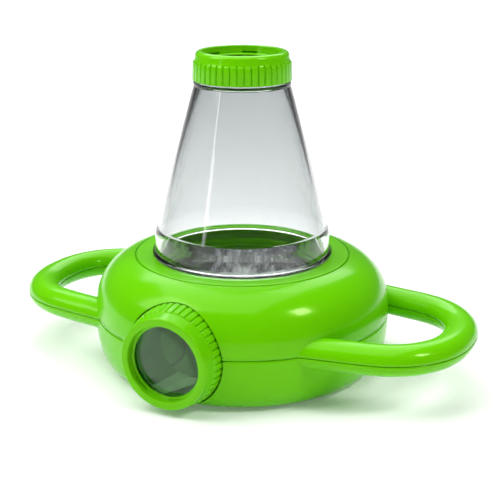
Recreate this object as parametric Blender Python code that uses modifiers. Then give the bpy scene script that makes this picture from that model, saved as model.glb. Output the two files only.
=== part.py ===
"""Children's two-way bug viewer: a round two-shell base with two loop handles, a clear
conical chamber with a screw-on magnifier cap, and a side eyepiece that looks at the
underside of the chamber floor by way of a 45 degree mirror.

Metres, +Z up. The chamber's axis is the Z axis, the base stands on z = 0, the handles
lie along X and the eyepiece points to -Y.
"""
import bpy
import bmesh
from math import cos, pi, radians, sin
from mathutils import Matrix, Vector

MM = 0.001
GAP = 0.3                    # clearance between touching pieces, mm

# Driving dimensions, all in millimetres.
BODY_R = 77.3                # largest radius of the base
BASE_FLAT_R = 61.0           # flat part of the underside
SEAM_Z = 28.8                # parting line of the two shells
SEAM_GAP = 0.5
DOME_Z = 31.0                # height where the dome starts to curve in
DOME_CREST_Z = 59.6
DOME_INNER_R = 48.0          # centre circle of the dome's section
DOME_POWER = 2.2
BELLY_POWER_Z, BELLY_POWER_R = 2.46, 2.93
WALL = 2.4

PLATFORM_R, PLATFORM_Z = 55.6, 59.2
COLLAR_R = 43.5              # bore that takes the chamber's spigot
COLLAR_LEDGE_Z = 54.0
FLOOR_BORE_R = 41.5
FLOOR_SHELF_Z, FLOOR_SHELF_R = 50.0, 39.0
COLLAR_OUTER_R, COLLAR_BOTTOM_Z = 45.9, 47.6

HANDLE_W, HANDLE_H = 8.4, 7.6          # half width and half height of the handle section
HANDLE_WALL = 2.3
HANDLE_Z = 28.8
HANDLE_PATH = [(31.0, 50.0), (55.5, 44.8), (78.2, 41.2), (93.5, 37.8), (104.7, 31.4),
               (112.6, 21.6), (116.4, 11.0)]
HANDLE_TIP_X = 117.4

EYE_Z = 26.6                 # height of the eyepiece axis
EYE_FACE_Y = -85.0
POCKET_R, POCKET_FLOOR_Y = 26.8, -68.0
REAR_RIB_R = 30.0
TUBE_R, TUBE_BORE_R = 20.9, 18.4
TUBE_FLANGE_R = 23.0
TUBE_FRONT_Y, TUBE_BACK_Y = -76.2, -54.0

CONE_TOP_R, CONE_TOP_Z = 24.6, 149.2
CONE_BASE_R, CONE_BASE_Z = 44.4, 74.6
BAND_R = 45.4
FLANGE_R, FLANGE_TOP_Z = 46.9, 61.0
NECK_R, NECK_BORE_R, NECK_TOP_Z = 22.2, 20.2, 154.2

CAP_TOP_Z = 164.0
RIB_COUNT = 44
RIB_DEPTH = 0.75
SLOT_COUNT, SLOT_START = 6, 45           # snap slots round a cap's inner wall, degrees
SLOT_SIZE = (2.8, 7.4, 0.9)
LENS_R = 21.2

MIRROR_SIZE = 90.0           # side of the square sheets before they are trimmed
MIRROR_R, MIRROR_T = 37.6, 2.0
MIRROR_LOW_Z, MIRROR_HIGH_Z = 4.2, 49.3
MIRROR_Y, MIRROR_Z = 9.0, 26.0         # a point of the silvered face
TAPE_T, PLATE_T = 0.8, 2.4
FOOT_Y, FOOT_Z = 33.0, 6.0             # the mirror bracket's foot and the top of its posts

SHELL_SCREW_R = 54.0         # the four screws under the base stand on this circle
SHELL_SCREW_ANGLES = [52, 128, 232, 308]

SHELL_STEPS, INSIDE_STEPS = 48, 32       # facets round the outside and the inside

CUTS = None                  # collection of the cutters, made in main()
PARTS = None                 # collection of the sub-parts


# ---------------------------------------------------------------- helpers

def make_material(name, colour, roughness, metallic=0.0, transmission=0.0):
    material = bpy.data.materials.new(name)
    material.use_nodes = True
    shader = material.node_tree.nodes["Principled BSDF"]
    shader.inputs["Base Color"].default_value = (*colour, 1.0)
    shader.inputs["Roughness"].default_value = roughness
    shader.inputs["Metallic"].default_value = metallic
    shader.inputs["Transmission Weight"].default_value = transmission
    return material


def add_object(name, mesh, collection):
    obj = bpy.data.objects.new(name, mesh)
    collection.objects.link(obj)
    if collection == CUTS:
        obj.hide_render = True
        obj.display_type = 'WIRE'
    return obj


def turned(name, profile, steps, collection, closed=True):
    """A solid of revolution about Z. The profile lists (radius, height) in mm and runs down
    its outer side; a closed profile returns to its start, an open one ends on the axis."""
    mesh = bpy.data.meshes.new(name)
    points = [(r * MM, 0.0, z * MM) for r, z in profile]
    edges = [(i, i + 1) for i in range(len(points) - 1)]
    if closed:
        edges.append((len(points) - 1, 0))
    mesh.from_pydata(points, edges, [])
    obj = add_object(name, mesh, collection)
    screw = obj.modifiers.new("turn", 'SCREW')
    screw.axis = 'Z'
    screw.steps = steps
    screw.render_steps = steps
    screw.use_merge_vertices = True
    screw.merge_threshold = 0.00001
    screw.use_smooth_shade = True
    return obj


def cylinder(name, radius, z0, z1, collection, x=0.0, y=0.0, sides=24):
    """An upright closed cylinder between heights z0 and z1, mm."""
    mesh = bpy.data.meshes.new(name)
    form = bmesh.new()
    place = Matrix.Translation(Vector((x, y, (z0 + z1) / 2)) * MM)
    bmesh.ops.create_cone(form, cap_ends=True, segments=sides, radius1=radius * MM,
                          radius2=radius * MM, depth=(z1 - z0) * MM, matrix=place)
    form.to_mesh(mesh)
    form.free()
    return add_object(name, mesh, collection)


def cylinders(name, radius, spots, collection, sides=20):
    """Several upright closed cylinders in one mesh; spots lists (x, y, z0, z1) in mm."""
    mesh = bpy.data.meshes.new(name)
    form = bmesh.new()
    for x, y, z0, z1 in spots:
        place = Matrix.Translation(Vector((x, y, (z0 + z1) / 2)) * MM)
        bmesh.ops.create_cone(form, cap_ends=True, segments=sides, radius1=radius * MM,
                              radius2=radius * MM, depth=(z1 - z0) * MM, matrix=place)
    form.to_mesh(mesh)
    form.free()
    return add_object(name, mesh, collection)


def eye_cylinder(name, radius, y0, y1, collection, sides=48):
    """A closed cylinder on the eyepiece axis between y0 and y1, mm."""
    obj = cylinder(name, radius, 0.0, y1 - y0, collection, sides=sides)
    obj.rotation_euler = (radians(-90), 0.0, 0.0)
    obj.location = (0.0, y0 * MM, EYE_Z * MM)
    return obj


def block(name, size, centre, collection, tilt=0.0):
    """A box of the given size in mm, its centre in mm, turned by tilt degrees about X."""
    mesh = bpy.data.meshes.new(name)
    form = bmesh.new()
    bmesh.ops.create_cube(form, size=1.0)
    bmesh.ops.scale(form, vec=Vector(size) * MM, verts=form.verts)
    form.to_mesh(mesh)
    form.free()
    obj = add_object(name, mesh, collection)
    obj.location = Vector(centre) * MM
    obj.rotation_euler = (radians(tilt), 0.0, 0.0)
    return obj


def cut(obj, *tools, join=False):
    for tool in tools:
        step = obj.modifiers.new(tool.name, 'BOOLEAN')
        step.operation = 'UNION' if join else 'DIFFERENCE'
        step.solver = 'EXACT'
        step.object = tool


def finish(obj, material, sharp=32):
    """Give the sub-part its material and its smooth shading."""
    obj.data.materials.append(material)
    edge = obj.modifiers.new("Smooth by angle", 'WEIGHTED_NORMAL')
    edge.keep_sharp = True
    obj.data.shade_smooth()
    if obj.data.polygons:
        obj.data.set_sharp_from_angle(angle=radians(sharp))


def arc(cx, cz, radius, start, end, count):
    """Points of an arc in the section plane, angles in degrees from +r towards +z."""
    angles = [radians(start + (end - start) * i / count) for i in range(count + 1)]
    return [(cx + radius * cos(a), cz + radius * sin(a)) for a in angles]


# ---------------------------------------------------------------- the two shells

def dome(offset, count):
    """The base's upper section from the crest out and down to the seam's height."""
    points = []
    for i in range(count + 1):
        angle = radians(90 * i / count)
        r = DOME_INNER_R + (BODY_R - offset - DOME_INNER_R) * sin(angle) ** (2 / DOME_POWER)
        z = DOME_Z + (DOME_CREST_Z - offset - DOME_Z) * max(cos(angle), 0) ** (2 / DOME_POWER)
        points.append((r, z))
    return points


def belly(offset, count):
    """The base's lower section from the seam's height down to the flat underside."""
    points = []
    for i in range(count + 1):
        drop = sin(radians(90 * i / count)) ** (2 / BELLY_POWER_Z)
        spread = max(1 - drop ** BELLY_POWER_Z, 0) ** (1 / BELLY_POWER_R)
        r = BASE_FLAT_R + (BODY_R - offset - BASE_FLAT_R) * spread
        points.append((r, SEAM_Z - (SEAM_Z - offset) * drop))
    return points


def handle_points(side):
    """The handle's centre line, a smooth curve through HANDLE_PATH and its mirror."""
    half = [Vector((x * side, -y)) for x, y in HANDLE_PATH]
    back = [Vector((p.x, -p.y)) for p in reversed(half)]
    knots = half + [Vector((HANDLE_TIP_X * side, 0.0))] + back
    route = []
    for i in range(1, len(knots) - 2):
        before, start, end, after = knots[i - 1:i + 3]
        for step in range(2):
            t = step / 2
            route.append(0.5 * (2 * start + (end - before) * t
                                + (2 * before - 5 * start + 4 * end - after) * t * t
                                + (3 * start - before - 3 * end + after) * t ** 3))
    return [knots[0]] + route + [knots[-2], knots[-1]]


def handle_bar(name, side, shrink, sides):
    """One loop handle's full section as a closed mesh, made smaller all round by shrink."""
    curve = bpy.data.curves.new(name, 'CURVE')
    curve.dimensions = '3D'
    curve.bevel_depth = (HANDLE_W - shrink) * MM
    curve.bevel_resolution = (sides - 4) // 2
    curve.use_fill_caps = True
    spline = curve.splines.new('POLY')
    route = handle_points(side)
    spline.points.add(len(route) - 1)
    for point, place in zip(spline.points, route):
        point.co = (place.x * MM, place.y * MM, 0.0, 1.0)
    source = bpy.data.objects.new(name + "_curve", curve)
    CUTS.objects.link(source)
    graph = bpy.context.evaluated_depsgraph_get()
    mesh = bpy.data.meshes.new_from_object(source.evaluated_get(graph))
    bpy.data.objects.remove(source)
    form = bmesh.new()
    form.from_mesh(mesh)
    bmesh.ops.remove_doubles(form, verts=form.verts, dist=0.00002)
    flatten = (HANDLE_H - shrink) / (HANDLE_W - shrink)
    bmesh.ops.scale(form, vec=(1.0, 1.0, flatten), verts=form.verts)
    bmesh.ops.translate(form, vec=(0.0, 0.0, HANDLE_Z * MM), verts=form.verts)
    bmesh.ops.recalc_face_normals(form, faces=form.faces)
    form.to_mesh(mesh)
    form.free()
    return add_object(name, mesh, CUTS)


def on_screw_circle():
    return [(SHELL_SCREW_R * cos(radians(a)), SHELL_SCREW_R * sin(radians(a)))
            for a in SHELL_SCREW_ANGLES]


def on_handle_tips():
    return [(HANDLE_TIP_X, 0.0), (-HANDLE_TIP_X, 0.0)]


def make_shells(green):
    bars = [handle_bar("bar_right", 1, 0.0, 12), handle_bar("bar_left", -1, 0.0, 12)]
    hollows = [handle_bar("hollow_right", 1, HANDLE_WALL, 8),
               handle_bar("hollow_left", -1, HANDLE_WALL, 8)]
    posts = cylinders("posts", 4.9, [(x, y, -5, 70) for x, y in on_screw_circle()], CUTS)
    tips = cylinders("tip_posts", 4.4, [(x, y, 10, 50) for x, y in on_handle_tips()], CUTS)
    front_wall = eye_cylinder("front_wall", POCKET_R + WALL, -95, POCKET_FLOOR_Y + WALL, CUTS)
    rear_rib_y = POCKET_FLOOR_Y + WALL + 2.4 + 2 * GAP
    rear_rib = eye_cylinder("rear_rib", REAR_RIB_R, rear_rib_y, rear_rib_y + 2.0, CUTS)
    pocket = eye_cylinder("pocket", POCKET_R, -95, POCKET_FLOOR_Y, CUTS)
    bore = eye_cylinder("bore", TUBE_R + GAP, -95, rear_rib_y + 4.0, CUTS)
    keep = [posts, tips, front_wall, rear_rib]

    crest = [p for p in dome(0.0, 11) if p[0] > PLATFORM_R + 0.5]
    upper_profile = [(0.0, PLATFORM_Z), (PLATFORM_R - 0.4, PLATFORM_Z),
                     (PLATFORM_R, PLATFORM_Z - 0.5)] + crest
    upper_profile += [(BODY_R, SEAM_Z - 2), (0.0, SEAM_Z - 2)]
    upper = turned("upper_shell", upper_profile, SHELL_STEPS, PARTS, closed=False)
    well_profile = [(0.0, 70.0), (COLLAR_R, 70.0), (COLLAR_R, COLLAR_LEDGE_Z),
                    (FLOOR_BORE_R, COLLAR_LEDGE_Z), (FLOOR_BORE_R, FLOOR_SHELF_Z),
                    (FLOOR_SHELF_R, FLOOR_SHELF_Z), (FLOOR_SHELF_R, 40.0), (0.0, 40.0)]
    well = turned("well", well_profile, SHELL_STEPS, CUTS, closed=False)
    roof = dome(WALL, 6)
    room = [(0.0, COLLAR_BOTTOM_Z), (COLLAR_OUTER_R, COLLAR_BOTTOM_Z), (COLLAR_OUTER_R, roof[0][1])]
    room += roof + [(roof[-1][0], SEAM_Z - 4), (0.0, SEAM_Z - 4)]
    upper_room = turned("upper_room", room, INSIDE_STEPS, CUTS, closed=False)
    cut(upper_room, *hollows, join=True)
    cut(upper_room, *keep)
    below = cylinder("below_seam", 200, -40, SEAM_Z + SEAM_GAP / 2, CUTS, sides=8)
    pilots = cylinders("pilots", 1.7, [(x, y, 20, 46) for x, y in on_screw_circle()]
                       + [(x, y, 20, 34) for x, y in on_handle_tips()], CUTS, sides=10)
    cut(upper, *bars, join=True)
    cut(upper, below, upper_room, well, pocket, bore, pilots)
    finish(upper, green)

    rim = [(0.0, SEAM_Z + 2), (BODY_R, SEAM_Z + 2)] + belly(0.0, 9) + [(0.0, 0.0)]
    lower = turned("lower_shell", rim, SHELL_STEPS, PARTS, closed=False)
    tub = [(0.0, SEAM_Z + 4), (BODY_R - WALL, SEAM_Z + 4)] + belly(WALL, 6) + [(0.0, WALL)]
    lower_room = turned("lower_room", tub, INSIDE_STEPS, CUTS, closed=False)
    cut(lower_room, *hollows, join=True)
    foot_posts = cylinders("bracket_posts", 4.2, [(x, y, -5, FOOT_Z) for x, y in bracket_spots()], CUTS)
    cut(lower_room, *keep, foot_posts)
    above = cylinder("above_seam", 200, SEAM_Z - SEAM_GAP / 2, 90, CUTS, sides=8)
    recess = cylinders("recesses", 3.7, [(x, y, -5, 14) for x, y in on_screw_circle()]
                       + [(x, y, 10, 24.6) for x, y in on_handle_tips()], CUTS, sides=16)
    shanks = cylinders("shank_holes", 1.9, [(x, y, 10, 40) for x, y in on_screw_circle()]
                       + [(x, y, 20, 40) for x, y in on_handle_tips()], CUTS, sides=10)
    foot_holes = cylinders("bracket_pilots", 1.5, [(x, y, 1.5, 20) for x, y in bracket_spots()],
                           CUTS, sides=10)
    cut(lower, *bars, join=True)
    cut(lower, above, lower_room, pocket, bore, recess, shanks, foot_holes)
    finish(lower, green)


# ---------------------------------------------------------------- chamber and floor

def make_chamber(clear):
    slope = (CONE_BASE_R - CONE_TOP_R) / (CONE_TOP_Z - 2.0 - CONE_BASE_Z)
    shoulder = [(CONE_BASE_R + slope * 1.8, CONE_BASE_Z - 1.8), (BAND_R - 0.15, CONE_BASE_Z - 3.8),
                (BAND_R, CONE_BASE_Z - 6.0)]
    profile = [(NECK_BORE_R, NECK_TOP_Z), (NECK_R, NECK_TOP_Z), (NECK_R, CONE_TOP_Z),
               (CONE_TOP_R, CONE_TOP_Z), (CONE_TOP_R + 0.1, CONE_TOP_Z - 1.6),
               (CONE_TOP_R - 0.2, CONE_TOP_Z - 2.0),
               (CONE_BASE_R, CONE_BASE_Z)] + shoulder
    profile += [(BAND_R, FLANGE_TOP_Z + 0.6), (BAND_R + 0.4, FLANGE_TOP_Z),
                (FLANGE_R - 0.3, FLANGE_TOP_Z), (FLANGE_R, FLANGE_TOP_Z - 0.4),
                (FLANGE_R, PLATFORM_Z + GAP), (COLLAR_R - GAP, PLATFORM_Z + GAP),
                (COLLAR_R - GAP, COLLAR_LEDGE_Z + GAP), (COLLAR_R - GAP - 1.6, COLLAR_LEDGE_Z + GAP),
                (COLLAR_R - GAP - 1.6, PLATFORM_Z + 1.0), (BAND_R - 2.0, FLANGE_TOP_Z + 1.0),
                (BAND_R - 2.0, 67.8), (42.7, 68.3), (CONE_TOP_R - 2.2, CONE_TOP_Z - 2.4),
                (NECK_BORE_R, CONE_TOP_Z)]
    chamber = turned("chamber", profile, SHELL_STEPS, PARTS)
    finish(chamber, clear)


def make_specimen_floor(clear):
    top = FLOOR_SHELF_Z + GAP + 2.0
    edge = FLOOR_BORE_R - GAP
    profile = [(0.0, top), (edge - 0.4, top), (edge, top - 0.4), (edge, FLOOR_SHELF_Z + GAP),
               (0.0, FLOOR_SHELF_Z + GAP)]
    finish(turned("specimen_floor", profile, SHELL_STEPS, PARTS, closed=False), clear)


# ---------------------------------------------------------------- screw caps with lenses

def cap_profile(length, knurl_start, rim, ribs, lip_depth, opening_r):
    """Half section of a magnifier cap as (radius, depth behind its face). rim gives the face's
    outer radius and its rounding, ribs the radii of the knurl's front and back end."""
    rim_r, rounding = rim
    return [(opening_r + 0.5, 0.0)] + arc(rim_r - rounding, rounding, rounding, -90, 0, 3) + [
        (rim_r + 0.6, knurl_start - 0.3), (ribs[0], knurl_start + 0.4), (ribs[1], length),
        (NECK_R + 0.5, length), (NECK_R + 0.5, lip_depth + 0.9), (17.8, lip_depth + 0.9),
        (17.8, lip_depth + 0.4), (opening_r - 0.2, lip_depth), (opening_r, 0.7)]


def ribbed_cap(name, profile, knurl_start, lip_depth, opening_r, place, green):
    """Turn the cap's half section with a groove between each two of its ribs, then cut the
    six snap slots at the foot of the inner wall."""
    mesh = bpy.data.meshes.new(name)
    form = bmesh.new()
    steps = 2 * RIB_COUNT
    rows = []
    for step in range(steps):
        angle = 2 * pi * step / steps
        row = []
        for r, depth in profile:
            in_knurl = depth > knurl_start and r > NECK_R + 1.5
            radius = r - (RIB_DEPTH if in_knurl and step % 2 else 0.0)
            row.append(form.verts.new((radius * cos(angle) * MM, radius * sin(angle) * MM, -depth * MM)))
        rows.append(row)
    for i in range(steps):
        here, there = rows[i], rows[(i + 1) % steps]
        for j in range(len(profile)):
            k = (j + 1) % len(profile)
            form.faces.new((here[j], here[k], there[k], there[j]))
    bmesh.ops.recalc_face_normals(form, faces=form.faces)
    form.to_mesh(mesh)
    form.free()
    cap = add_object(name, mesh, PARTS)
    cap.matrix_world = place
    slots = bpy.data.meshes.new(name + "_slots")
    form = bmesh.new()
    for i in range(SLOT_COUNT):
        turn = Matrix.Rotation(2 * pi * i / SLOT_COUNT + radians(SLOT_START), 4, 'Z')
        place_slot = turn @ Matrix.Translation(Vector((opening_r, 0.0, -lip_depth + 0.55)) * MM)
        slot = bmesh.ops.create_cube(form, size=1.0)
        bmesh.ops.scale(form, vec=Vector(SLOT_SIZE) * MM, verts=slot["verts"])
        bmesh.ops.transform(form, matrix=place_slot, verts=slot["verts"])
    form.to_mesh(slots)
    form.free()
    tool = add_object(name + "_slots", slots, CUTS)
    tool.matrix_world = place
    cut(cap, tool)
    finish(cap, green)


def lens(name, edge_depth, place, clear):
    """A biconvex magnifier with a flat rim, its front edge at edge_depth behind the face."""
    rim_t, bulge = 1.8, 1.5
    crown = 17.6
    front = [(crown * i / 4, bulge * (1 - (i / 4) ** 2) - edge_depth) for i in range(5)]
    back = [(r, -2 * edge_depth - rim_t - z) for r, z in reversed(front)]
    profile = front + [(LENS_R, -edge_depth), (LENS_R, -edge_depth - rim_t)] + back
    obj = turned(name, profile, INSIDE_STEPS, PARTS, closed=False)
    obj.matrix_world = place
    finish(obj, clear)


def retainer(name, depth, place, green):
    """The snap ring that holds the lens in its cap."""
    outer = NECK_R + 0.2
    profile = [(18.6, -depth), (outer - 0.3, -depth), (outer, -depth - 0.3), (outer, -depth - 1.2),
               (18.6, -depth - 1.2)]
    obj = turned(name, profile, INSIDE_STEPS, PARTS)
    obj.matrix_world = place
    finish(obj, green)


def make_top_magnifier(green, clear):
    place = Matrix.Translation((0.0, 0.0, CAP_TOP_Z * MM))
    length, knurl, lip, opening_r = 14.5, 5.1, 3.9, 19.8
    profile = cap_profile(length, knurl, (23.6, 2.4), (24.8, 25.1), lip, opening_r)
    ribbed_cap("top_cap", profile, knurl, lip, opening_r, place, green)
    lens("top_lens", lip + 0.9 + GAP, place, clear)
    retainer("top_lens_retainer", lip + 0.9 + 2 * GAP + 1.8, place, green)


def make_eyepiece(green, clear):
    place = (Matrix.Translation((0.0, EYE_FACE_Y * MM, EYE_Z * MM))
             @ Matrix.Rotation(radians(90), 4, 'X'))
    length, knurl, lip, opening_r = 16.5, 7.5, 3.6, 19.1
    profile = cap_profile(length, knurl, (23.2, 1.1), (24.6, 26.1), lip, opening_r)
    ribbed_cap("eyepiece_cap", profile, knurl, lip, opening_r, place, green)
    lens("eyepiece_lens", lip + 0.9 + GAP, place, clear)
    retainer("eyepiece_lens_retainer", lip + 0.9 + 2 * GAP + 1.8, place, green)
    front, back = EYE_FACE_Y - TUBE_FRONT_Y, EYE_FACE_Y - TUBE_BACK_Y
    flange = EYE_FACE_Y - (POCKET_FLOOR_Y + WALL + GAP)
    profile = [(TUBE_BORE_R, front), (TUBE_R - 0.4, front), (TUBE_R, front - 0.4), (TUBE_R, flange),
               (TUBE_FLANGE_R, flange), (TUBE_FLANGE_R, flange - 2.4), (TUBE_R, flange - 2.4),
               (TUBE_R, back), (TUBE_BORE_R, back)]
    tube = turned("eyepiece_tube", profile, INSIDE_STEPS, PARTS)
    tube.matrix_world = place
    finish(tube, green)


# ---------------------------------------------------------------- mirror

def on_slope(along, away):
    """A point of the mirror's middle plane: along runs up its slope, away is behind the
    silvered face; both in mm."""
    s = 0.5 ** 0.5
    return (0.0, MIRROR_Y + along * s + away * s, MIRROR_Z + along * s - away * s)


def bracket_spots():
    return [(12.0, FOOT_Y + 5.0), (-12.0, FOOT_Y + 5.0)]


def sloping_sheet(name, away, thickness, radius, low, high):
    """A sheet parallel to the mirror whose middle lies away behind the silvered face, trimmed
    to an upright cylinder that reaches from low to high."""
    size = (MIRROR_SIZE, MIRROR_SIZE, thickness)
    sheet = block(name, size, on_slope(0, away), PARTS, 45)
    trim = sheet.modifiers.new("trim", 'BOOLEAN')
    trim.operation = 'INTERSECT'
    trim.solver = 'EXACT'
    trim.object = cylinder(name + "_trim", radius, low, high, CUTS, sides=SHELL_STEPS)
    return sheet


def bracket_web(x):
    """An upright web of the bracket, from its foot to the top of its plate."""
    web = bpy.data.curves.new("web", 'CURVE')
    web.dimensions = '2D'
    web.fill_mode = 'BOTH'
    web.extrude = 1.2 * MM
    base_z = FOOT_Z + 0.9
    corners = [(FOOT_Y - 8.0, base_z), (FOOT_Y + 9.0, base_z), (31.7, 38.0), (30.3, 40.6)]
    spline = web.splines.new('POLY')
    spline.points.add(len(corners) - 1)
    for point, (y, z) in zip(spline.points, corners):
        point.co = (y * MM, z * MM, 0.0, 1.0)
    spline.use_cyclic_u = True
    source = bpy.data.objects.new("web_curve", web)
    CUTS.objects.link(source)
    graph = bpy.context.evaluated_depsgraph_get()
    mesh = bpy.data.meshes.new_from_object(source.evaluated_get(graph))
    bpy.data.objects.remove(source)
    form = bmesh.new()
    form.from_mesh(mesh)
    bmesh.ops.remove_doubles(form, verts=form.verts, dist=0.00001)
    bmesh.ops.recalc_face_normals(form, faces=form.faces)
    form.to_mesh(mesh)
    form.free()
    tool = add_object("bracket_web", mesh, CUTS)
    tool.matrix_world = Matrix(((0, 0, 1, x * MM), (1, 0, 0, 0), (0, 1, 0, 0), (0, 0, 0, 1)))
    return tool


def make_mirror(silver, foam, dark):
    finish(sloping_sheet("mirror", MIRROR_T / 2, MIRROR_T, MIRROR_R, MIRROR_LOW_Z, MIRROR_HIGH_Z),
           silver)
    tape_away = MIRROR_T + GAP + TAPE_T / 2
    finish(sloping_sheet("mirror_tape", tape_away, TAPE_T, MIRROR_R - 3, MIRROR_LOW_Z + 2,
                         MIRROR_HIGH_Z - 4), foam)
    plate_away = MIRROR_T + 2 * GAP + TAPE_T + PLATE_T / 2
    bracket = sloping_sheet("mirror_bracket", plate_away, PLATE_T, MIRROR_R, MIRROR_LOW_Z - 1,
                            MIRROR_HIGH_Z - 2)
    foot = block("bracket_foot", (40.0, 20.0, PLATE_T), (0, FOOT_Y, FOOT_Z + GAP + PLATE_T / 2), CUTS)
    cut(bracket, foot, bracket_web(17.0), bracket_web(-17.0), join=True)
    cut(bracket, cylinders("bracket_holes", 1.7, [(x, y, 2, 12) for x, y in bracket_spots()],
                           CUTS, sides=10))
    finish(bracket, dark)


# ---------------------------------------------------------------- screws

def screw(name, x, y, head_z, head_r, length, steel, up=True):
    """A pan-head self-tapping screw; its head's bearing face is at head_z."""
    shank = head_r * 0.42
    profile = [(0.0, length), (shank * 0.4, length), (shank, length - 1.6), (shank, 0.0),
               (head_r, 0.0), (head_r, -0.9), (head_r * 0.7, -1.9), (0.0, -1.9)]
    obj = turned(name, profile, 10, PARTS, closed=False)
    obj.location = (x * MM, y * MM, head_z * MM)
    if not up:
        obj.rotation_euler = (pi, 0.0, 0.0)
    finish(obj, steel)


def make_screws(steel):
    for number, (x, y) in enumerate(on_screw_circle(), start=1):
        screw(f"shell_screw_{number}", x, y, 14 - GAP, 3.1, 26.0, steel)
    for name, (x, y) in zip(("handle_screw_right", "handle_screw_left"), on_handle_tips()):
        screw(name, x, y, 24.6 - GAP, 2.9, 8.6, steel)
    for name, (x, y) in zip(("bracket_screw_right", "bracket_screw_left"), bracket_spots()):
        screw(name, x, y, FOOT_Z + 2 * GAP + PLATE_T, 2.7, 6.0, steel, up=False)


def main():
    global CUTS, PARTS
    for obj in list(bpy.data.objects):
        bpy.data.objects.remove(obj)
    PARTS = bpy.data.collections.new("bug_viewer")
    CUTS = bpy.data.collections.new("cutters")
    for collection in (PARTS, CUTS):
        bpy.context.scene.collection.children.link(collection)
    green = make_material("green ABS", (0.145, 0.57, 0.004), 0.28)
    clear = make_material("clear polystyrene", (0.95, 0.96, 0.96), 0.05, transmission=1.0)
    dark = make_material("dark plastic", (0.02, 0.06, 0.02), 0.5)
    silver = make_material("mirror", (0.85, 0.85, 0.86), 0.08, metallic=1.0)
    foam = make_material("foam tape", (0.75, 0.75, 0.72), 0.9)
    steel = make_material("zinc-plated steel", (0.6, 0.6, 0.6), 0.35, metallic=1.0)
    make_shells(green)
    make_chamber(clear)
    make_specimen_floor(clear)
    make_top_magnifier(green, clear)
    make_eyepiece(green, clear)
    make_mirror(silver, foam, dark)
    make_screws(steel)


main()
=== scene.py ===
"""Looks of the children's two-way bug viewer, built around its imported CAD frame.

Metres in Blender; the section profiles are written in millimetres. The chamber's axis is
Z, the base stands on z = 0, the handles lie along X and the eyepiece points to -Y.
"""
from math import cos, hypot, pi, radians, sin

import bmesh
import bpy
from mathutils import Matrix, Vector, noise


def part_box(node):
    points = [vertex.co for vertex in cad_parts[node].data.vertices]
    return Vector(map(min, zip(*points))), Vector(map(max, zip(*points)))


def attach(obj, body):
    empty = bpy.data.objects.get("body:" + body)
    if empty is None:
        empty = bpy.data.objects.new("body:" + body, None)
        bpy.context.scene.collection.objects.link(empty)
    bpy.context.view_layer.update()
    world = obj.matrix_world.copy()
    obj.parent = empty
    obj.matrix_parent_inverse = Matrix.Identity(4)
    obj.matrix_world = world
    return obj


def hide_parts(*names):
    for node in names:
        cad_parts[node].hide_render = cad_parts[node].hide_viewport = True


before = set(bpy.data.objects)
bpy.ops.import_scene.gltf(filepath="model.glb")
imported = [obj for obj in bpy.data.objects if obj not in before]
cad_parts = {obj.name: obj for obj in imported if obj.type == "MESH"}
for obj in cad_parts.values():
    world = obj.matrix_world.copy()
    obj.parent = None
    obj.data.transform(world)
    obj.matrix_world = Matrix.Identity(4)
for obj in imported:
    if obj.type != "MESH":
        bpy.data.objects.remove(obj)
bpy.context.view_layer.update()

MM = 0.001

# ---------------------------------------------------------------- sizes from the frame, mm

def box_mm(node):
    low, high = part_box(node)
    return [c / MM for c in low], [c / MM for c in high]


UPPER_LOW, UPPER_HIGH = box_mm("upper_shell")
LOWER_HIGH = box_mm("lower_shell")[1]
CHAMBER_LOW, CHAMBER_HIGH = box_mm("chamber")
CAP_LOW, CAP_HIGH = box_mm("top_cap")
EYE_LOW, EYE_HIGH = box_mm("eyepiece_cap")
DISC_LOW, DISC_HIGH = box_mm("specimen_floor")
MIRROR_BOX_LOW, MIRROR_BOX_HIGH = box_mm("mirror")

BODY_R = UPPER_HIGH[1]                          # largest radius of the base
PLATFORM_Z = UPPER_HIGH[2]
SEAM_LOW, SEAM_HIGH = LOWER_HIGH[2], UPPER_LOW[2]
SEAM_Z = (SEAM_LOW + SEAM_HIGH) / 2
HANDLE_END_X = UPPER_HIGH[0]
EYE_Z = (EYE_LOW[2] + EYE_HIGH[2]) / 2
EYE_FACE_Y = EYE_LOW[1]
CAP_TOP_Z = CAP_HIGH[2]
FLANGE_R = CHAMBER_HIGH[0]
SPIGOT_Z = CHAMBER_LOW[2]
NECK_TOP_Z = CHAMBER_HIGH[2]

# Section of the base: a superelliptic dome over a superelliptic belly.
BASE_FLAT_R = 61.0
DOME_Z, DOME_CREST_Z, DOME_INNER_R, DOME_POWER = 31.0, 59.6, 48.0, 2.2
BELLY_POWER_Z, BELLY_POWER_R = 2.46, 2.93
PLATFORM_R = 55.6
COLLAR_R, COLLAR_LEDGE_Z = 43.5, 54.0
FLOOR_BORE_R, FLOOR_SHELF_R, FLOOR_SHELF_Z = 41.5, 39.0, 50.0
COLLAR_OUTER_R, COLLAR_BOTTOM_Z = 45.9, 47.6
POCKET_R, POCKET_FLOOR_Y, TUBE_HOLE_R = 25.9, -67.9, 21.2
GROOVE_R, GROOVE_Z = 56.3, 57.7                 # narrow groove round the platform
SHELL_WALL, POCKET_WALL_SHARE = 2.2, 0.06         # the wall thins out at the pocket's edge

BODY_STEPS, WELL_SIDES = 192, 191               # facets that don't fall on one another
WELL_Z = 46.0

# Loop handles: half width, half height and centre line in plan.
HANDLE_W, HANDLE_H, HANDLE_SIDES = 8.4, 7.6, 40
HANDLE_PATH = [(31.0, 50.0), (55.5, 44.8), (78.2, 41.2), (93.5, 37.8), (104.7, 31.4),
               (112.6, 21.6), (116.4, 11.0)]
HANDLE_TIP_X = HANDLE_END_X - HANDLE_W
MIRROR_T = 2.0

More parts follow.
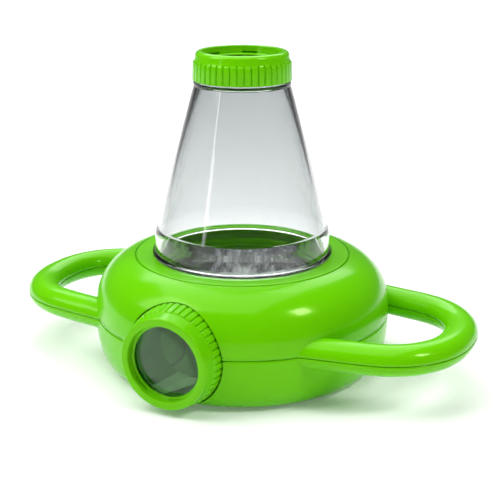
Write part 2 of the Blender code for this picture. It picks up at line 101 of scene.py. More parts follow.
# Section of the chamber.
NECK_R, NECK_BORE_R = 22.2, 20.2
CONE_TOP_R, CONE_TOP_Z, CONE_BASE_R, CONE_BASE_Z = 24.6, 149.2, 44.4, 74.6
CONE_WALL, BAND_R, FLANGE_TOP_Z, FLANGE_GAP = 2.2, 45.4, 61.0, 0.15
SPIGOT_GAP, SPIGOT_WALL = 0.3, 0.7
THREAD_PITCH = 3.0

# Heights, in metres, where the clear plastic's tint changes and where the mirror's painted
# reflection low down gives way to its dull grain, and how far that edge wanders.
TINT_SPAN, REFLECTION_EDGE_SPAN, REFLECTION_EDGE_RAGGED = (0.055, 0.150), (0.0370, 0.0450), 0.020

# The caps' ribs, the places of a rib's points along its pitch, and the six snap slots.
RIB_COUNT, RIB_DEPTH = 44, 0.75
RIB_PHASES = (0.0, 0.16, 0.30, 0.36, 0.43, 0.5, 0.57, 0.64, 0.70, 0.84)
SLOT_START, SLOT_HALF_WIDTH, SLOT_DEPTH = 45, 11, 1.3
TOP_CAP = {"knurl": 5.1, "rim": (23.6, 2.4), "ribs": (24.8, 25.1), "lip": 3.9, "opening_r": 19.8}
EYEPIECE_CAP = {"knurl": 7.5, "rim": (23.2, 1.1), "ribs": (24.7, 25.7), "lip": 3.6,
                "opening_r": 19.1}

# The studio's area lights: name, place, what they face, size and watts.
LIGHTS = (
    ("top softbox", (-0.25, -0.05, 1.5), (0, 0, 0), (1.7, 1.5), 19.0),
    ("left softbox", (-0.70, -0.55, 0.92), (0, 0, 0.05), (0.70, 0.80), 7.5),
    ("right softbox", (0.877, -0.077, 0.97), (0, 0, 0.05), (0.24, 0.28), 5.5),
    ("left strip", (-0.44, -0.90, 0.36), (0, 0, 0.1), (0.05, 0.24), 0.30),
    ("background light", (-1.0, 2.4, 2.0), (-1.0, 2.4, 0.0), (2.6, 2.8), 60.0),
)


# ---------------------------------------------------------------- node helpers

class Nodes:
    """A short way to write a material's node tree."""

    def __init__(self, name):
        self.material = bpy.data.materials.new(name)
        self.material.use_nodes = True
        self.tree = self.material.node_tree
        self.shader = self.tree.nodes["Principled BSDF"]

    def add(self, kind, **settings):
        node = self.tree.nodes.new(kind)
        for key, value in settings.items():
            setattr(node, key, value)
        return node

    def feed(self, socket, value):
        if hasattr(value, "is_output"):
            self.tree.links.new(value, socket)
        else:
            socket.default_value = value

    def set(self, **values):
        for key, value in values.items():
            self.feed(self.shader.inputs[key.replace("_", " ")], value)

    def coords(self):
        return self.add("ShaderNodeTexCoord").outputs["Object"]

    def height(self):
        """Height over the table, in metres."""
        split = self.add("ShaderNodeSeparateXYZ")
        self.feed(split.inputs["Vector"], self.coords())
        return split.outputs["Z"]

    def noise(self, scale, detail=4.0, rough=0.5, stretch=None, distortion=0.0):
        node = self.add("ShaderNodeTexNoise")
        node.inputs["Scale"].default_value = scale
        node.inputs["Detail"].default_value = detail
        node.inputs["Roughness"].default_value = rough
        node.inputs["Distortion"].default_value = distortion
        place = self.coords()
        if stretch:
            mapping = self.add("ShaderNodeMapping")
            mapping.inputs["Scale"].default_value = stretch
            self.feed(mapping.inputs["Vector"], place)
            place = mapping.outputs["Vector"]
        self.feed(node.inputs["Vector"], place)
        return node.outputs["Fac"]

    def ramp(self, fac, *stops):
        node = self.add("ShaderNodeValToRGB")
        ends = node.color_ramp.elements
        while len(ends) < len(stops):
            ends.new(0.5)
        for end, (place, colour) in zip(ends, stops):
            end.position = place
            grey = isinstance(colour, (int, float))
            end.color = (colour, colour, colour, 1.0) if grey else (*colour, 1.0)
        self.feed(node.inputs["Fac"], fac)
        return node.outputs["Color"]

    def mix(self, fac, a, b, blend="MIX"):
        node = self.add("ShaderNodeMix", data_type="RGBA", blend_type=blend)
        self.feed(node.inputs["Factor"], fac)
        colours = [s for s in node.inputs if s.type == "RGBA"]
        for socket, value in zip(colours, (a, b)):
            plain = isinstance(value, tuple) and len(value) == 3
            self.feed(socket, (*value, 1.0) if plain else value)
        return [s for s in node.outputs if s.type == "RGBA"][0]

    def range(self, value, low, high, start=0.0, end=1.0):
        """Map a value from start..end to low..high."""
        node = self.add("ShaderNodeMapRange")
        node.inputs["From Min"].default_value = start
        node.inputs["From Max"].default_value = end
        node.inputs["To Min"].default_value = low
        node.inputs["To Max"].default_value = high
        self.feed(node.inputs["Value"], value)
        return node.outputs["Result"]

    def bump(self, height, strength, distance, normal=None):
        node = self.add("ShaderNodeBump")
        node.inputs["Strength"].default_value = strength
        node.inputs["Distance"].default_value = distance
        self.feed(node.inputs["Height"], height)
        if normal is not None:
            self.feed(node.inputs["Normal"], normal)
        return node.outputs["Normal"]


def green_plastic(name, edge):
    """Glossy lime ABS: fine moulded ripple, faint flow clouds and a few handling scuffs."""
    n = Nodes(name)
    cloud = n.noise(14.0, 3.0, 0.5)
    base = n.mix(cloud, (0.130, 0.560, 0.0004), (0.146, 0.600, 0.0006))
    scuffs = n.ramp(n.noise(260.0, 6.0, 0.65, stretch=(1.0, 3.5, 1.0)), (0.62, 0.0), (0.80, 1.0))
    rough = n.mix(scuffs, n.range(n.noise(900.0, 2.0), 0.19, 0.23), n.range(cloud, 0.27, 0.31))
    rounded = n.add("ShaderNodeBevel", samples=6)
    rounded.inputs["Radius"].default_value = edge
    ripple = n.bump(n.noise(90.0, 2.0, 0.5), 0.04, 0.0006, rounded.outputs["Normal"])
    n.set(Base_Color=base, Roughness=rough, IOR=1.34, Normal=ripple)
    n.set(Specular_Tint=(0.70, 1.0, 0.10, 1.0), Coat_Weight=0.18, Coat_Roughness=0.10)
    return n.material


def clear_plastic(name, tints, rough_high, waves, ior):
    """Clear moulded styrene or acrylic with slow flow waves and a trace of dust haze. It is
    tinted by height: as at the chamber's foot, at its cone's base and at its neck."""
    n = Nodes(name)
    foot, base, neck = tints
    tint = n.ramp(n.range(n.height(), 0.0, 1.0, *TINT_SPAN),
                  (0.08, foot), (0.20, base), (1.0, neck))
    flow = n.noise(16.0, 2.0, 0.4, stretch=(1.0, 1.0, 0.35))
    haze = n.ramp(n.noise(380.0, 5.0, 0.6), (0.62, 0.0), (0.78, 1.0))
    n.set(Base_Color=tint, Transmission_Weight=1.0, IOR=ior,
          Roughness=n.range(haze, 0.0, rough_high), Normal=n.bump(flow, waves, 0.004))
    return n.material


def mirror_film(name):
    """Silvered film, crinkled: low down a pale silver colour that is a painted reflection of the
    bright background, and past a ragged edge higher up a dull violet grey grain with white
    flecks."""
    n = Nodes(name)
    ragged = n.add("ShaderNodeMath", operation='ADD')
    n.feed(ragged.inputs[0], n.height())
    n.feed(ragged.inputs[1], n.range(n.noise(150.0, 5.0, 0.65), -REFLECTION_EDGE_RAGGED, REFLECTION_EDGE_RAGGED))
    # Mask from 0 low down, on the painted reflection, to 1 higher up, on the dull grain.
    reflection_to_grain = n.range(ragged.outputs["Value"], 0.0, 1.0, *REFLECTION_EDGE_SPAN)
    creases = n.add("ShaderNodeTexVoronoi", feature="DISTANCE_TO_EDGE")
    creases.inputs["Scale"].default_value = 170.0
    n.feed(creases.inputs["Vector"], n.coords())
    grain = n.noise(620.0, 8.0, 0.7)
    spots = n.ramp(grain, (0.38, 0.0), (0.62, 1.0))
    dull = n.mix(spots, (0.005, 0.004, 0.007), (0.13, 0.12, 0.14))
    flecks = n.ramp(n.noise(900.0, 3.0, 0.6), (0.62, 0.0), (0.68, 1.0))
    grain_look = n.mix(flecks, dull, (0.85, 0.85, 0.83))
    # Pale near-white colour with little metal: a painted reflection of the bright background, not
    # the film's own tone.
    painted_silver_reflection = n.mix(spots, (0.80, 0.80, 0.81), (0.97, 0.97, 0.97))
    n.set(Base_Color=n.mix(reflection_to_grain, painted_silver_reflection, grain_look), Metallic=n.range(reflection_to_grain, 0.25, 0.10),
          Roughness=n.range(grain, 0.32, 0.50),
          Normal=n.bump(creases.outputs["Distance"], 0.5, 0.0012, n.bump(grain, 0.35, 0.0004)))
    return n.material


def zinc_steel(name):
    """Zinc-plated steel with fine turning marks and dull patches."""
    n = Nodes(name)
    patch = n.noise(700.0, 4.0)
    n.set(Base_Color=n.mix(patch, (0.50, 0.50, 0.48), (0.68, 0.68, 0.66)), Metallic=1.0,
          Roughness=n.range(patch, 0.22, 0.42), Normal=n.bump(n.noise(2400.0, 2.0), 0.15, 0.0001))
    return n.material


def dull_plastic(name, dark, light):
    """Matt moulded plastic or foam with a fine grain."""
    n = Nodes(name)
    grain = n.noise(1300.0, 5.0, 0.6)
    n.set(Base_Color=n.mix(grain, dark, light), Roughness=n.range(grain, 0.5, 0.75),
          Normal=n.bump(grain, 0.3, 0.0003))
    return n.material


GREEN = green_plastic("lime ABS", 0.0004)
GREEN_CAP = green_plastic("lime ABS caps", 0.00025)
CLEAR = clear_plastic("clear styrene", ((0.95, 0.97, 0.96), (0.81, 0.83, 0.835),
                      (0.66, 0.68, 0.685)), 0.05, 0.06, 1.38)
CLEAR_FLOOR = clear_plastic("clear floor", ((0.95, 0.97, 0.96),) * 3, 0.05, 0.02, 1.12)
ACRYLIC = clear_plastic("clear acrylic", ((0.40, 0.72, 0.38), (0.70, 0.80, 0.68),
                        (0.80, 0.86, 0.79)), 0.04, 0.02, 1.49)
SILVER = mirror_film("crinkled mirror film")
STEEL = zinc_steel("zinc-plated steel")
DARK = dull_plastic("dark green plastic", (0.010, 0.035, 0.008), (0.020, 0.060, 0.014))
FOAM = dull_plastic("foam tape", (0.62, 0.62, 0.58), (0.80, 0.80, 0.76))


# ---------------------------------------------------------------- mesh helpers

def add_piece(name, mesh, material, body, node=None, sharp=35):
    """Link a finished mesh as a piece that rides on a body and stands for a CAD node."""
    mesh.materials.clear()
    mesh.materials.append(material)
    mesh.shade_smooth()
    mesh.set_sharp_from_angle(angle=radians(sharp))
    piece = bpy.data.objects.new(name, mesh)
    bpy.context.scene.collection.objects.link(piece)
    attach(piece, body)
    if node:
        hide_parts(node)
    return piece


def form_to_mesh(name, form, place=None):
    """Put a bmesh in its place and turn it into a mesh, which uses it up."""
    if place is not None:
        bmesh.ops.transform(form, matrix=place, verts=form.verts)
    mesh = bpy.data.meshes.new(name)
    form.to_mesh(mesh)
    form.free()
    return mesh


def rings_to_mesh(name, rings, closed_profile, place=None):
    """Skin a list of rings of points, each ring one step round the axis. Points with no
    radius are shared, so that an open profile ends in a fan on the axis."""
    form = bmesh.new()
    poles = {}
    grid = []
    for ring in rings:
        row = []
        for index, (x, y, z) in enumerate(ring):
            if hypot(x, y) < 1e-9:
                if index not in poles:
                    poles[index] = form.verts.new((0.0, 0.0, z * MM))
                row.append(poles[index])
            else:
                row.append(form.verts.new((x * MM, y * MM, z * MM)))
        grid.append(row)
    count = len(grid[0])
    for i, here in enumerate(grid):
        there = grid[(i + 1) % len(grid)]
        for j in range(count if closed_profile else count - 1):
            k = (j + 1) % count
            corners = []
            for vert in (here[j], here[k], there[k], there[j]):
                if vert not in corners:
                    corners.append(vert)
            if len(corners) > 2:
                form.faces.new(corners)
    bmesh.ops.recalc_face_normals(form, faces=form.faces)
    return form_to_mesh(name, form, place)


def lathe(name, profile, steps, closed=True, place=None):
    """A turned mesh from a half section of (radius, height) points in mm."""
    rings = []
    for step in range(steps):
        a = 2 * pi * step / steps
        rings.append([(r * cos(a), r * sin(a), z) for r, z in profile])
    return rings_to_mesh(name, rings, closed, place)


def swept(name, rings, place=None):
    """A closed mesh through rings of points along a path, with a cap at each end."""
    form = bmesh.new()
    rows = [[form.verts.new(Vector(p) * MM) for p in ring] for ring in rings]
    sides = len(rows[0])
    for here, there in zip(rows[:-1], rows[1:]):
        for j in range(sides):
            k = (j + 1) % sides
            form.faces.new((here[j], here[k], there[k], there[j]))
    form.faces.new(rows[0])
    form.faces.new(list(reversed(rows[-1])))
    bmesh.ops.recalc_face_normals(form, faces=form.faces)
    return form_to_mesh(name, form, place)


def arc(cx, cz, radius, start, end, count):
    """Points of an arc in the section plane, angles in degrees from +r towards +z."""
    angles = [radians(start + (end - start) * i / count) for i in range(count + 1)]
    return [(cx + radius * cos(a), cz + radius * sin(a)) for a in angles]


def rounded(profile, radius, count=3, closed=True):
    """Round every corner of a half section by up to radius."""
    result = []
    last = len(profile)
    for i, point in enumerate(profile):
        if not closed and i in (0, last - 1):
            result.append(point)
            continue
        here = Vector(point)
        before, after = Vector(profile[i - 1]) - here, Vector(profile[(i + 1) % last]) - here
        reach = min(radius, before.length * 0.45, after.length * 0.45)
        start, end = here + before.normalized() * reach, here + after.normalized() * reach
        for step in range(count + 1):
            t = step / count
            result.append(tuple((1 - t) ** 2 * start + 2 * t * (1 - t) * here + t * t * end))
    return result


def evaluated_mesh(obj):
    graph = bpy.context.evaluated_depsgraph_get()
    mesh = bpy.data.meshes.new_from_object(obj.evaluated_get(graph))
    bpy.data.objects.remove(obj)
    return mesh


def scratch(name, mesh):
    obj = bpy.data.objects.new(name, mesh)
    bpy.context.scene.collection.objects.link(obj)
    return obj


# ---------------------------------------------------------------- the base's smooth form

def section_points():
    """Dense half section of the base from the crest's centre to the underside's centre."""
    points = [(0.0, DOME_CREST_Z)]
    for i in range(61):
        a = radians(90 * i / 60)
        points.append((DOME_INNER_R + (BODY_R - DOME_INNER_R) * sin(a) ** (2 / DOME_POWER),
                       DOME_Z + (DOME_CREST_Z - DOME_Z) * max(cos(a), 0.0) ** (2 / DOME_POWER)))
    for i in range(61):
        drop = sin(radians(90 * i / 60)) ** (2 / BELLY_POWER_Z)
        spread = max(1 - drop ** BELLY_POWER_Z, 0.0) ** (1 / BELLY_POWER_R)
        points.append((BASE_FLAT_R + (BODY_R - BASE_FLAT_R) * spread, SEAM_Z * (1 - drop)))
    return points + [(0.0, 0.0)]


def handle_route(steps):
    """The handle's centre line on the +X side, a smooth curve through its plan points."""
    half = [Vector((x, -y)) for x, y in HANDLE_PATH]
    knots = half + [Vector((HANDLE_TIP_X, 0.0))] + [Vector((p.x, -p.y)) for p in reversed(half)]
    route = []
    for i in range(1, len(knots) - 2):
        before, start, end, after = knots[i - 1:i + 3]
        for step in range(steps):
            t = step / steps
            route.append(0.5 * (2 * start + (end - before) * t
                                + (2 * before - 5 * start + 4 * end - after) * t * t
                                + (3 * start - before - 3 * end + after) * t ** 3))
    return [knots[0]] + route + [knots[-2], knots[-1]]


def handle_tube(side):
    """One loop handle as a swept tube of elliptical section, its ends inside the body."""
    route = handle_route(8)
    rings = []
    for i, point in enumerate(route):
        ahead, behind = route[min(i + 1, len(route) - 1)], route[max(i - 1, 0)]
        along = (ahead - behind).normalized()
        across = Vector((along.y, -along.x))
        ring = []
        for step in range(HANDLE_SIDES):
            a = 2 * pi * step / HANDLE_SIDES
            out = across * HANDLE_W * cos(a)
            ring.append(((point.x + out.x) * side, point.y + out.y, SEAM_Z + HANDLE_H * sin(a)))
        rings.append(ring)
    return swept("handle", rings)


def whole_outside():
    """The base's outside: the turned body joined with both handles."""
    body = scratch("body", lathe("body", section_points() + [(0.0, 0.0)], BODY_STEPS, False))
    bars = [scratch("bar", handle_tube(side)) for side in (1, -1)]
    return combined(body, bars, 'UNION')


def eyepiece_place(y=0.0):
    """Turns a form's axis to the eyepiece's, its top towards -Y and its foot at y."""
    return Matrix.Translation((0.0, y * MM, EYE_Z * MM)) @ Matrix.Rotation(radians(90), 4, 'X')


def upright(name, radius, z0, z1, x=0.0, y=0.0, sides=48):
    """A closed upright cylinder as a cutting tool, mm."""
    profile = [(0.0, z1), (radius, z1), (radius, z0), (0.0, z0)]
    place = Matrix.Translation((x * MM, y * MM, 0.0))
    return scratch(name, lathe(name, profile, sides, False, place))


def combined(obj, tools, operation='DIFFERENCE'):
    """The mesh of obj cut by, or joined with, the tools, which are all used up."""
    for tool in tools:
        step = obj.modifiers.new(tool.name, 'BOOLEAN')
        step.operation = operation
        step.object = tool
    mesh = evaluated_mesh(obj)
    for tool in tools:
        bpy.data.objects.remove(tool)
    return mesh


def screw_places(prefix):
    """Centres of the screws whose node names start with prefix, mm."""
    spots = []
    for name in sorted(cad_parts):
        if name.startswith(prefix):
            low, high = box_mm(name)
            spots.append(((low[0] + high[0]) / 2, (low[1] + high[1]) / 2))
    return spots


def on_pocket(point):
    """Whether a point, mm, lies on the eyepiece pocket's wall."""
    return point.y < POCKET_FLOOR_Y + 0.05 and hypot(point.x, point.z - EYE_Z) < POCKET_R + 0.05


def make_shells():
    """Both shells: the outside with its pocket, well and screw recesses cut, split at the
    seam and given a wall."""
    skin = scratch("skin", whole_outside())
    depth, beyond = -POCKET_FLOOR_Y, 100.0
    pocket = [(0.0, beyond), (POCKET_R, beyond), (POCKET_R, depth), (0.0, depth)]
    tools = [scratch("pocket", lathe("pocket", pocket, 128, False, eyepiece_place()))]
    tools.append(upright("well", GROOVE_R, WELL_Z, 80, sides=WELL_SIDES))
    tools += [upright("recess", 3.7, -5, 13.7, x, y) for x, y in screw_places("shell_screw")]
    tools += [upright("recess", 3.7, 10, 24.3, x, y) for x, y in screw_places("handle_screw")]
    mesh = combined(skin, tools)
    form = bmesh.new()
    form.from_mesh(mesh)
    loose = []
    for face in form.faces:
        c = face.calc_center_median() / MM
        in_well = hypot(c.x, c.y) < GROOVE_R and abs(c.z - WELL_Z) < 0.1
        at_pocket_end = abs(c.y - POCKET_FLOOR_Y) < 0.05 and hypot(c.x, c.z - EYE_Z) < POCKET_R
        if in_well or (at_pocket_end and abs(face.normal.y) > 0.9):
            loose.append(face)
    bmesh.ops.delete(form, geom=loose, context='FACES')
    form.to_mesh(mesh)
    form.free()
    for name, node, low, high in (("shell_upper", "upper_shell", SEAM_HIGH, 200),
                                  ("shell_lower", "lower_shell", -50, SEAM_LOW)):
        half = mesh.copy()
        form = bmesh.new()
        form.from_mesh(half)
        for height, outward in ((low, -1), (high, 1)):
            bmesh.ops.bisect_plane(form, geom=form.verts[:] + form.edges[:] + form.faces[:],
                                   plane_co=(0, 0, height * MM), plane_no=(0, 0, outward),
                                   clear_outer=True, dist=1e-7)
        form.to_mesh(half)
        form.free()
        shell = add_piece(name, half, GREEN, "base", node)
        full = shell.vertex_groups.new(name="full wall")
        full.add([v.index for v in half.vertices if not on_pocket(v.co / MM)], 1.0, 'REPLACE')
        wall = shell.modifiers.new("wall", 'SOLIDIFY')
        wall.thickness = SHELL_WALL * MM
        wall.vertex_group = full.name
        wall.thickness_vertex_group = POCKET_WALL_SHARE
        wall.offset = -1.0
        wall.use_rim = True
    bpy.data.meshes.remove(mesh)


def make_collar():
    """Raised platform with the collar that takes the chamber, down to the floor's shelf."""
    edge = 0.7                                     # rounding of the platform's rim
    behind, under = GROOVE_R + 0.4, GROOVE_Z - 2.0  # hidden in the shell's well
    profile = [(COLLAR_R + 0.5, PLATFORM_Z)]
    profile += arc(PLATFORM_R - edge, PLATFORM_Z - edge, edge, 90, 0, 5)
    profile += [(PLATFORM_R, GROOVE_Z), (behind, GROOVE_Z), (behind, under),
                (COLLAR_OUTER_R, under), (COLLAR_OUTER_R, COLLAR_BOTTOM_Z),
                (FLOOR_SHELF_R, COLLAR_BOTTOM_Z), (FLOOR_SHELF_R, FLOOR_SHELF_Z),
                (FLOOR_BORE_R, FLOOR_SHELF_Z), (FLOOR_BORE_R, COLLAR_LEDGE_Z),
                (COLLAR_R, COLLAR_LEDGE_Z), (COLLAR_R, PLATFORM_Z - 0.5)]
    add_piece("collar_platform", lathe("collar_platform", rounded(profile, 0.35), 144), GREEN,
              "base")


def make_pocket_ring():
    """Floor of the eyepiece pocket, with the hole for the tube."""
    depth = -POCKET_FLOOR_Y
    outer, back = POCKET_R + 0.3, depth - 2.4
    profile = [(TUBE_HOLE_R, depth), (outer, depth), (outer, back), (TUBE_HOLE_R, back)]
    mesh = lathe("eyepiece_pocket_floor", rounded(profile, 0.3), 96, place=eyepiece_place())
    add_piece("eyepiece_pocket_floor", mesh, GREEN, "base")


# ---------------------------------------------------------------- chamber, lenses, floor

def make_chamber():
    """Clear cone: neck, shoulder ring, conical wall, foot band, flange and spigot."""
    lip = CONE_TOP_R + 0.1
    spigot = COLLAR_R - SPIGOT_GAP
    inner = spigot - SPIGOT_WALL
    flange_low = PLATFORM_Z + FLANGE_GAP
    profile = [(NECK_BORE_R, NECK_TOP_Z), (NECK_R, NECK_TOP_Z), (NECK_R, CONE_TOP_Z),
               (lip, CONE_TOP_Z), (lip, 147.6), (CONE_TOP_R - 0.1, 147.0)]
    profile += [(CONE_BASE_R, CONE_BASE_Z), (44.95, 72.6), (45.3, 70.6), (BAND_R, 68.6),
                (BAND_R, FLANGE_TOP_Z + 0.9), (BAND_R + 0.4, FLANGE_TOP_Z),
                (FLANGE_R, FLANGE_TOP_Z), (FLANGE_R, flange_low), (spigot, flange_low),
                (spigot, SPIGOT_Z), (inner, SPIGOT_Z), (inner, 73.4), (inner - 0.4, 74.0),
                (CONE_TOP_R - CONE_WALL, 146.8), (NECK_BORE_R, CONE_TOP_Z)]
    mesh = lathe("chamber_cone", rounded(profile, 0.45), 160)
    add_piece("chamber_cone", mesh, CLEAR, "chamber", "chamber", sharp=50)
    make_thread("neck_thread", NECK_R - 0.1, 0.35, 150.4, 3.4, CLEAR, "chamber",
                Matrix.Identity(4))


def make_thread(name, radius, height, start, rise, material, body, place):
    """One helical thread ridge, tapered to nothing at both ends."""
    steps = 150
    rings = []
    for step in range(steps + 1):
        t = step / steps
        a = 2 * pi * t * rise / THREAD_PITCH
        grow = min(1.0, 10 * t, 10 * (1 - t)) * height + 0.02
        z = start + rise * t
        outline = [(radius, 0.6), (radius + grow, 0.2), (radius + grow, -0.2), (radius, -0.6)]
        rings.append([(r * cos(a), r * sin(a), z + dz) for r, dz in outline])
    add_piece(name, swept(name, rings, place), material, body)


def make_floor_disc():
    radius, low, high = DISC_HIGH[0], DISC_LOW[2], DISC_HIGH[2]
    profile = [(0.0, high), (radius, high), (radius, low), (0.0, low)]
    mesh = lathe("floor_disc", rounded(profile, 0.35, closed=False), 128, False)
    add_piece("floor_disc", mesh, CLEAR_FLOOR, "base", "specimen_floor")


def lens_mesh(name, edge_depth, place):
    """A biconvex magnifier with a flat rim, from its front face back."""
    rim_t, bulge, crown, edge_r, edge, rows = 1.8, 1.5, 17.6, 21.2, 0.3, 14
    rim_back = -edge_depth - rim_t
    front = []
    for i in range(rows + 1):
        share = i / rows
        front.append((crown * share, bulge * (1 - share ** 2) - edge_depth))
    back = [(r, -2 * edge_depth - rim_t - z) for r, z in reversed(front)]
    rim = [(edge_r - edge, -edge_depth), (edge_r, -edge_depth - edge),
           (edge_r, rim_back + edge), (edge_r - edge, rim_back)]
    return lathe(name, front + rim + back, 128, False, place)


# ---------------------------------------------------------------- ribbed screw caps

def cap_mesh(name, place, length, knurl, rim, ribs, lip, opening_r):
    """A magnifier cap: rounded rim, smooth band, ribs with narrow grooves between them, and
    snap slots at the foot of the inner wall. Depths are measured back from the face.

    knurl is the depth where the ribs start, rim (radius, rounding), ribs their radii at the
    front and back, and lip the depth of the lens's seat."""
    rim_r, rounding = rim
    front_r, back_r = ribs
    bore = NECK_R + 0.5
    section = [(opening_r + 0.05, 0.35), (opening_r + 0.2, 0.1), (opening_r + 0.5, 0.0)]
    section += arc(rim_r - rounding, rounding, rounding, -90, 0, 8)
    section += [(rim_r + 0.25, (rounding + knurl) / 2), (rim_r + 0.55, knurl - 0.35)]
    plain = len(section)
    section += [(front_r - 0.35, knurl), (front_r - 0.08, knurl + 0.35), (front_r, knurl + 0.9),
                (back_r, length - 0.5), (back_r - 0.15, length - 0.15), (back_r - 0.4, length)]
    ribbed = len(section)
    section += [(bore + 0.5, length), (bore, length - 0.5), (bore, lip + 0.9), (17.8, lip + 0.9),
                (17.8, lip + 0.45), (18.4, lip + 0.1), (opening_r - 0.3, lip),
                (opening_r - 0.2, lip - 0.13), (opening_r - 0.2, lip - 0.95),
                (opening_r - 0.19, lip - 0.97), (opening_r - 0.05, 0.9)]
    slot_rows = range(len(section) - 4, len(section) - 2)
    rings = []
    for rib in range(RIB_COUNT):
        for phase in RIB_PHASES:
            a = 2 * pi * (rib + phase) / RIB_COUNT
            dip = RIB_DEPTH * max(0.0, 1 - abs(phase - 0.5) / 0.17)
            turn = (a * 180 / pi - SLOT_START) % 60
            in_slot = min(turn, 60 - turn) < SLOT_HALF_WIDTH
            ring = []
            for row, (r, depth) in enumerate(section):
                if plain <= row < ribbed:
                    r -= dip
                elif row in slot_rows and in_slot:
                    r += SLOT_DEPTH
                ring.append((r * cos(a), r * sin(a), -depth))
            rings.append(ring)
    return rings_to_mesh(name, rings, True, place)


def make_magnifiers():
    top = Matrix.Translation((0.0, 0.0, CAP_TOP_Z * MM))
    side = eyepiece_place(EYE_FACE_Y)
    mesh = cap_mesh("cap_ribbed", top, CAP_TOP_Z - CAP_LOW[2], **TOP_CAP)
    add_piece("cap_ribbed", mesh, GREEN_CAP, "top_cap", "top_cap", sharp=28)
    mesh = lens_mesh("cap_lens", 5.1, top)
    add_piece("cap_lens", mesh, ACRYLIC, "top_magnifier", "top_lens")
    mesh = cap_mesh("eyepiece_ribbed", side, EYE_HIGH[1] - EYE_FACE_Y, **EYEPIECE_CAP)
    add_piece("eyepiece_ribbed", mesh, GREEN_CAP, "eyepiece_cap", "eyepiece_cap",
              sharp=28)
    mesh = lens_mesh("eyepiece_glass", 4.8, side)
    add_piece("eyepiece_glass", mesh, ACRYLIC, "eyepiece", "eyepiece_lens")
    make_thread("tube_thread", 20.8, 1.3, -12.6, 3.4, GREEN, "base", side)


# ---------------------------------------------------------------- mirror and screws

def make_mirror():
    """The silvered sheet, trimmed to the collar's round bore and crinkled by its tape."""
    radius = (MIRROR_BOX_HIGH[0] - MIRROR_BOX_LOW[0]) / 2
    low_z, high_z = MIRROR_BOX_LOW[2], MIRROR_BOX_HIGH[2]
    rise = low_z - MIRROR_BOX_LOW[1]               # the silvered face is z = y + rise
    start = Vector((0.0, low_z - rise, low_z))
    length = (high_z - low_z) * 2 ** 0.5
    rows, columns, fade, lean = 110, 100, 3, 0.7   # the crinkle fades out at the edges
    form = bmesh.new()
    grid = []
    for i in range(rows + 1):
        along = length * i / rows
        y = start.y + along * 0.5 ** 0.5
        half = (radius ** 2 - y ** 2) ** 0.5
        row = []
        for j in range(columns + 1):
            x = half * (2 * j / columns - 1)
            edge = min(1.0, (half - abs(x)) / fade, along / fade, (length - along) / fade)
            dent = noise.fractal(Vector((x * 0.10, along * 0.10, 3.7)), 1.0, 2.0, 5)
            sink = edge * (0.28 + 0.24 * dent)
            row.append(form.verts.new(Vector((x, y + sink * lean, y + rise - sink * lean)) * MM))
        grid.append(row)
    for here, there in zip(grid[:-1], grid[1:]):
        for j in range(columns):
            form.faces.new((here[j], here[j + 1], there[j + 1], there[j]))
    grown = bmesh.ops.extrude_edge_only(form, edges=[e for e in form.edges if e.is_boundary])
    for vert in grown["geom"]:
        if isinstance(vert, bmesh.types.BMVert):
            away = MIRROR_T * 0.5 ** 0.5
            y, z = vert.co.y / MM + away, vert.co.z / MM - away
            if z < low_z:
                # This draws the back's lower edge in to the front's, so the sheet is thin low
                # down. Following the slope would take y + low_z - z.
                y, z = y + z - low_z, low_z
            half = max(0.0, radius ** 2 - y ** 2) ** 0.5
            x = max(-half, min(half, vert.co.x / MM))
            vert.co = Vector((x, y, z)) * MM
    bmesh.ops.contextual_create(form, geom=[e for e in form.edges if e.is_boundary])
    bmesh.ops.recalc_face_normals(form, faces=form.faces)
    mesh = form_to_mesh("mirror_sheet", form)
    add_piece("mirror_sheet", mesh, SILVER, "base", "mirror", sharp=60)


def make_screw(node):
    """A pan-head screw with a cross recess and a threaded shank, where its CAD node is."""
    low, high = box_mm(node)
    x, y = (low[0] + high[0]) / 2, (low[1] + high[1]) / 2
    head_r, length = (high[0] - low[0]) / 2, high[2] - low[2]
    upward = not node.startswith("bracket")
    shank, head_depth, pitch, point = head_r * 0.42, 1.9, 0.9, 1.0
    profile = [(0.0, 0.0)]
    for degrees in (25, 50, 75, 90):
        a = radians(degrees)
        profile.append((head_r * sin(a), 1.0 - cos(a)))
    profile += [(head_r, head_depth), (shank, head_depth)]
    for turn in range(int((length - 3.5) / pitch)):
        z = head_depth + pitch / 2 + pitch * turn
        profile += [(shank * 0.8, z), (shank * 1.08, z + pitch / 2)]
    profile += [(shank * 0.7, length - point), (0.0, length)]
    mesh = lathe("screw", profile, 32, False)
    place = Matrix.Translation((x * MM, y * MM, low[2] * MM))
    if not upward:
        place = Matrix.Translation((x * MM, y * MM, high[2] * MM)) @ Matrix.Rotation(pi, 4, 'X')
    head = scratch("screw_head", mesh)
    tools = []
    for turn in (0, pi / 2):
        form = bmesh.new()
        bmesh.ops.create_cube(form, size=1.0)
        bmesh.ops.scale(form, vec=(head_r * 1.1 * MM, 0.75 * MM, 2.0 * MM), verts=form.verts)
        bmesh.ops.rotate(form, matrix=Matrix.Rotation(turn + 0.4, 3, 'Z'), verts=form.verts)
        tools.append(scratch("cross", form_to_mesh("cross", form)))
    mesh = combined(head, tools)
    mesh.transform(place)
    add_piece(node + "_detail", mesh, STEEL, "base", node, sharp=30)


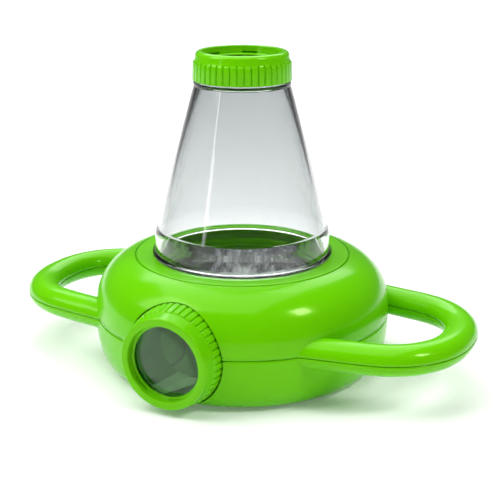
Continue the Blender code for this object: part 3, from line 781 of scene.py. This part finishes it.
def finish_cad_nodes():
    """Materials for the CAD nodes that stay: tube, rings, bracket and tape."""
    looks = {"eyepiece_tube": GREEN, "top_lens_retainer": GREEN_CAP,
             "eyepiece_lens_retainer": GREEN_CAP, "mirror_bracket": DARK, "mirror_tape": FOAM}
    for name, material in looks.items():
        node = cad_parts[name]
        node.data.materials.clear()
        node.data.materials.append(material)


# ---------------------------------------------------------------- floor, light, camera

def emitter(name, place, target, size, power):
    light = bpy.data.lights.new(name, 'AREA')
    light.shape = 'RECTANGLE'
    light.size, light.size_y = size
    light.energy = power
    obj = bpy.data.objects.new(name, light)
    bpy.context.scene.collection.objects.link(obj)
    obj.location = place
    aim = Vector(target) - Vector(place)
    obj.rotation_euler = aim.to_track_quat('-Z', 'Y').to_euler()


def make_studio():
    form = bmesh.new()
    bmesh.ops.create_grid(form, x_segments=1, y_segments=1, size=6.0)
    mesh = form_to_mesh("studio_floor", form)
    n = Nodes("white paper")
    n.set(Base_Color=(0.90, 0.90, 0.90, 1.0), Roughness=0.9,
          Emission_Color=(1.0, 1.0, 1.0, 1.0), Emission_Strength=0.12)
    mesh.materials.append(n.material)
    floor = bpy.data.objects.new("studio_floor", mesh)
    bpy.context.scene.collection.objects.link(floor)
    world = bpy.data.worlds.new("studio")
    world.use_nodes = True
    sky = world.node_tree.nodes["Background"]
    sky.inputs["Color"].default_value = (1.0, 1.0, 1.0, 1.0)
    sky.inputs["Strength"].default_value = 0.08
    bpy.context.scene.world = world
    for light in LIGHTS:
        emitter(*light)
    bpy.context.scene.view_settings.view_transform = 'Standard'


def make_camera():
    azimuth, pitch, distance, height = radians(26.428), radians(17.484), 0.5756, 0.2409
    camera = bpy.data.cameras.new("camera")
    camera.sensor_width = 36.0
    camera.lens = 82.6
    camera.shift_x = 0.0155
    camera.clip_start = 0.01
    obj = bpy.data.objects.new("camera", camera)
    bpy.context.scene.collection.objects.link(obj)
    obj.location = (distance * sin(azimuth), -distance * cos(azimuth), height)
    obj.rotation_euler = (pi / 2 - pitch, 0.0, azimuth)
    bpy.context.scene.camera = obj


make_shells()
make_collar()
make_pocket_ring()
make_chamber()
make_floor_disc()
make_magnifiers()
make_mirror()
for screw_node in [name for name in sorted(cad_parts) if "_screw_" in name]:
    make_screw(screw_node)
finish_cad_nodes()
make_studio()
make_camera()
